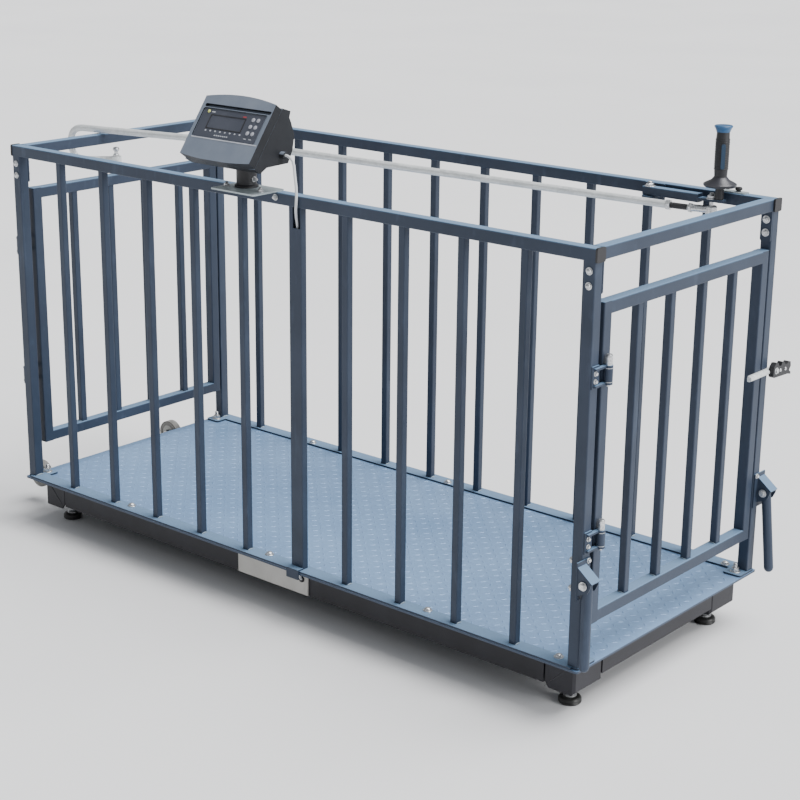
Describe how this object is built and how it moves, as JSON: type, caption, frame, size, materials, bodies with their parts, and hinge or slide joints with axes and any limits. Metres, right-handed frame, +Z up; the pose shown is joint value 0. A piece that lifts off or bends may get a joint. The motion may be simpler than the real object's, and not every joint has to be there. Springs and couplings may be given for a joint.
{
  "type": "animal weighing scale",
  "caption": "Livestock weighing crate: tread-plate platform with barred sides, a gate at each end, an indicator, a gate lever and transport wheels.",
  "frame": {"origin": "centre of the whole crate's box, at floor level", "axes": "+X along the crate towards the carrying handles, +Z up, the indicator faces -Y"},
  "size_m": [2.1968, 1.0074, 1.3583],
  "materials": {
    "slate_paint": "satin blue-grey powder coat",
    "dark_paint": "satin near-black paint",
    "pale_plate": "bare pale plate",
    "black_plastic": "satin",
    "zinc": "dull galvanised steel",
    "steel": "bright zinc",
    "foot_rubber": "matt",
    "grey_tyre": "matt grey",
    "pale_hub": "satin",
    "blue_plastic": "satin blue",
    "cable_grey": "smooth sheath",
    "display_glass": "dark red filter"
  },
  "bodies": {
    "crate": {"deck_plate": "slate_paint", "side_beam_near": "dark_paint", "side_beam_far": "dark_paint", "end_beam_left": "dark_paint", "end_beam_right": "dark_paint", "wheel_bracket_near": "dark_paint", "wheel_bracket_far": "dark_paint", "junction_cover": "pale_plate", "indicator_bracket": "pale_plate", "junction_box": "black_plastic", "indicator_pole": "black_plastic", "indicator_front": "black_plastic", "indicator_rear": "black_plastic", "keypad": "black_plastic", "end_cap_left_near": "black_plastic", "end_cap_left_far": "black_plastic", "end_cap_right_near": "black_plastic", "end_cap_right_far": "black_plastic", "side_panel_near": "slate_paint", "side_panel_far": "slate_paint", "cable_post": "slate_paint", "end_rail_left": "slate_paint", "end_rail_right": "slate_paint", "hinge_bracket_left_lower": "slate_paint", "hinge_bracket_left_upper": "slate_paint", "hinge_bracket_right_lower": "slate_paint", "hinge_bracket_right_upper": "slate_paint", "handle_bracket_near": "slate_paint", "handle_bracket_far": "slate_paint", "lever_bracket": "slate_paint", "hinge_pin_left_lower": "steel", "hinge_pin_left_upper": "steel", "hinge_pin_right_lower": "steel", "hinge_pin_right_upper": "steel", "load_cell_left_near": "steel", "load_cell_left_far": "steel", "load_cell_right_near": "steel", "load_cell_right_far": "steel", "signal_cable": "cable_grey", "display_window": "display_glass"},
    "gate_right": {"gate_right": "slate_paint", "latch_strap": "zinc"},
    "latch": {"latch_lever": "black_plastic"},
    "gate_left": {"gate_left": "slate_paint"},
    "lever": {"lever_arm": "slate_paint", "grip": "black_plastic", "grip_cap": "blue_plastic"},
    "rod": {"rod_end": "steel", "push_rod": "zinc", "gate_pin": "steel"},
    "handle_near": {"handle_tube_near": "slate_paint"},
    "wheel_near": {"wheel_hub_near": "pale_hub", "tyre_near": "grey_tyre"},
    "handle_far": {"handle_tube_far": "slate_paint"},
    "wheel_far": {"wheel_hub_far": "pale_hub", "tyre_far": "grey_tyre"},
    "foot_left_near": {"foot_left_near": "foot_rubber"},
    "foot_left_far": {"foot_left_far": "foot_rubber"},
    "foot_right_near": {"foot_right_near": "foot_rubber"},
    "foot_right_far": {"foot_right_far": "foot_rubber"}
  },
  "joints": [
    {"name": "right_gate_swing", "type": "hinge", "parent": "crate", "child": "gate_right", "pos_m": [1.05357, -0.3293, 0.6], "axis": [0, 0, -1], "range_deg": [0, 95]},
    {"name": "gate_latch", "type": "hinge", "parent": "gate_right", "child": "latch", "pos_m": [1.05457, 0.4287, 0.687], "axis": [1, 0, 0], "range_deg": [0, 90]},
    {"name": "hand_lever", "type": "hinge", "parent": "crate", "child": "lever", "pos_m": [0.70157, 0.3597, 1.113], "axis": [0, 0, -1], "range_deg": [0, 120]},
    {"name": "left_gate_swing", "type": "hinge", "parent": "crate", "child": "gate_left", "pos_m": [-0.95843, -0.3293, 0.6], "axis": [0, 0, 1], "range_deg": [0, 57.9]},
    {"name": "rod_pivot", "type": "hinge", "parent": "lever", "child": "rod", "pos_m": [0.88357, 0.3597, 1.087], "axis": [0, 0, 1], "range_deg": [0, 120]},
    {"name": "carry_handle_near", "type": "hinge", "parent": "crate", "child": "handle_near", "pos_m": [1.06257, -0.3883, 0.363], "axis": [0, -1, 0], "range_deg": [0, 50]},
    {"name": "carry_handle_far", "type": "hinge", "parent": "crate", "child": "handle_far", "pos_m": [1.06257, 0.4217, 0.363], "axis": [0, -1, 0], "range_deg": [0, 50]},
    {"name": "wheel_spin_near", "type": "hinge", "parent": "crate", "child": "wheel_near", "pos_m": [-1.05743, -0.2523, 0.086], "axis": [0, 1, 0], "continuous": true},
    {"name": "wheel_spin_far", "type": "hinge", "parent": "crate", "child": "wheel_far", "pos_m": [-1.05743, 0.2857, 0.086], "axis": [0, 1, 0], "continuous": true},
    {"name": "foot_turn_left_near", "type": "hinge", "parent": "crate", "child": "foot_left_near", "pos_m": [-0.86743, -0.2913, 0.05], "axis": [0, 0, 1], "continuous": true},
    {"name": "foot_turn_left_far", "type": "hinge", "parent": "crate", "child": "foot_left_far", "pos_m": [-0.86743, 0.3247, 0.05], "axis": [0, 0, 1], "continuous": true},
    {"name": "foot_turn_right_near", "type": "hinge", "parent": "crate", "child": "foot_right_near", "pos_m": [0.96257, -0.2913, 0.05], "axis": [0, 0, 1], "continuous": true},
    {"name": "foot_turn_right_far", "type": "hinge", "parent": "crate", "child": "foot_right_far", "pos_m": [0.96257, 0.3247, 0.05], "axis": [0, 0, 1], "continuous": true}
  ],
  "couplings": [
    {"joint": "left_gate_swing", "follows": "hand_lever", "ratio": 0.48112},
    {"joint": "rod_pivot", "follows": "hand_lever", "ratio": 0.99152}
  ]
}
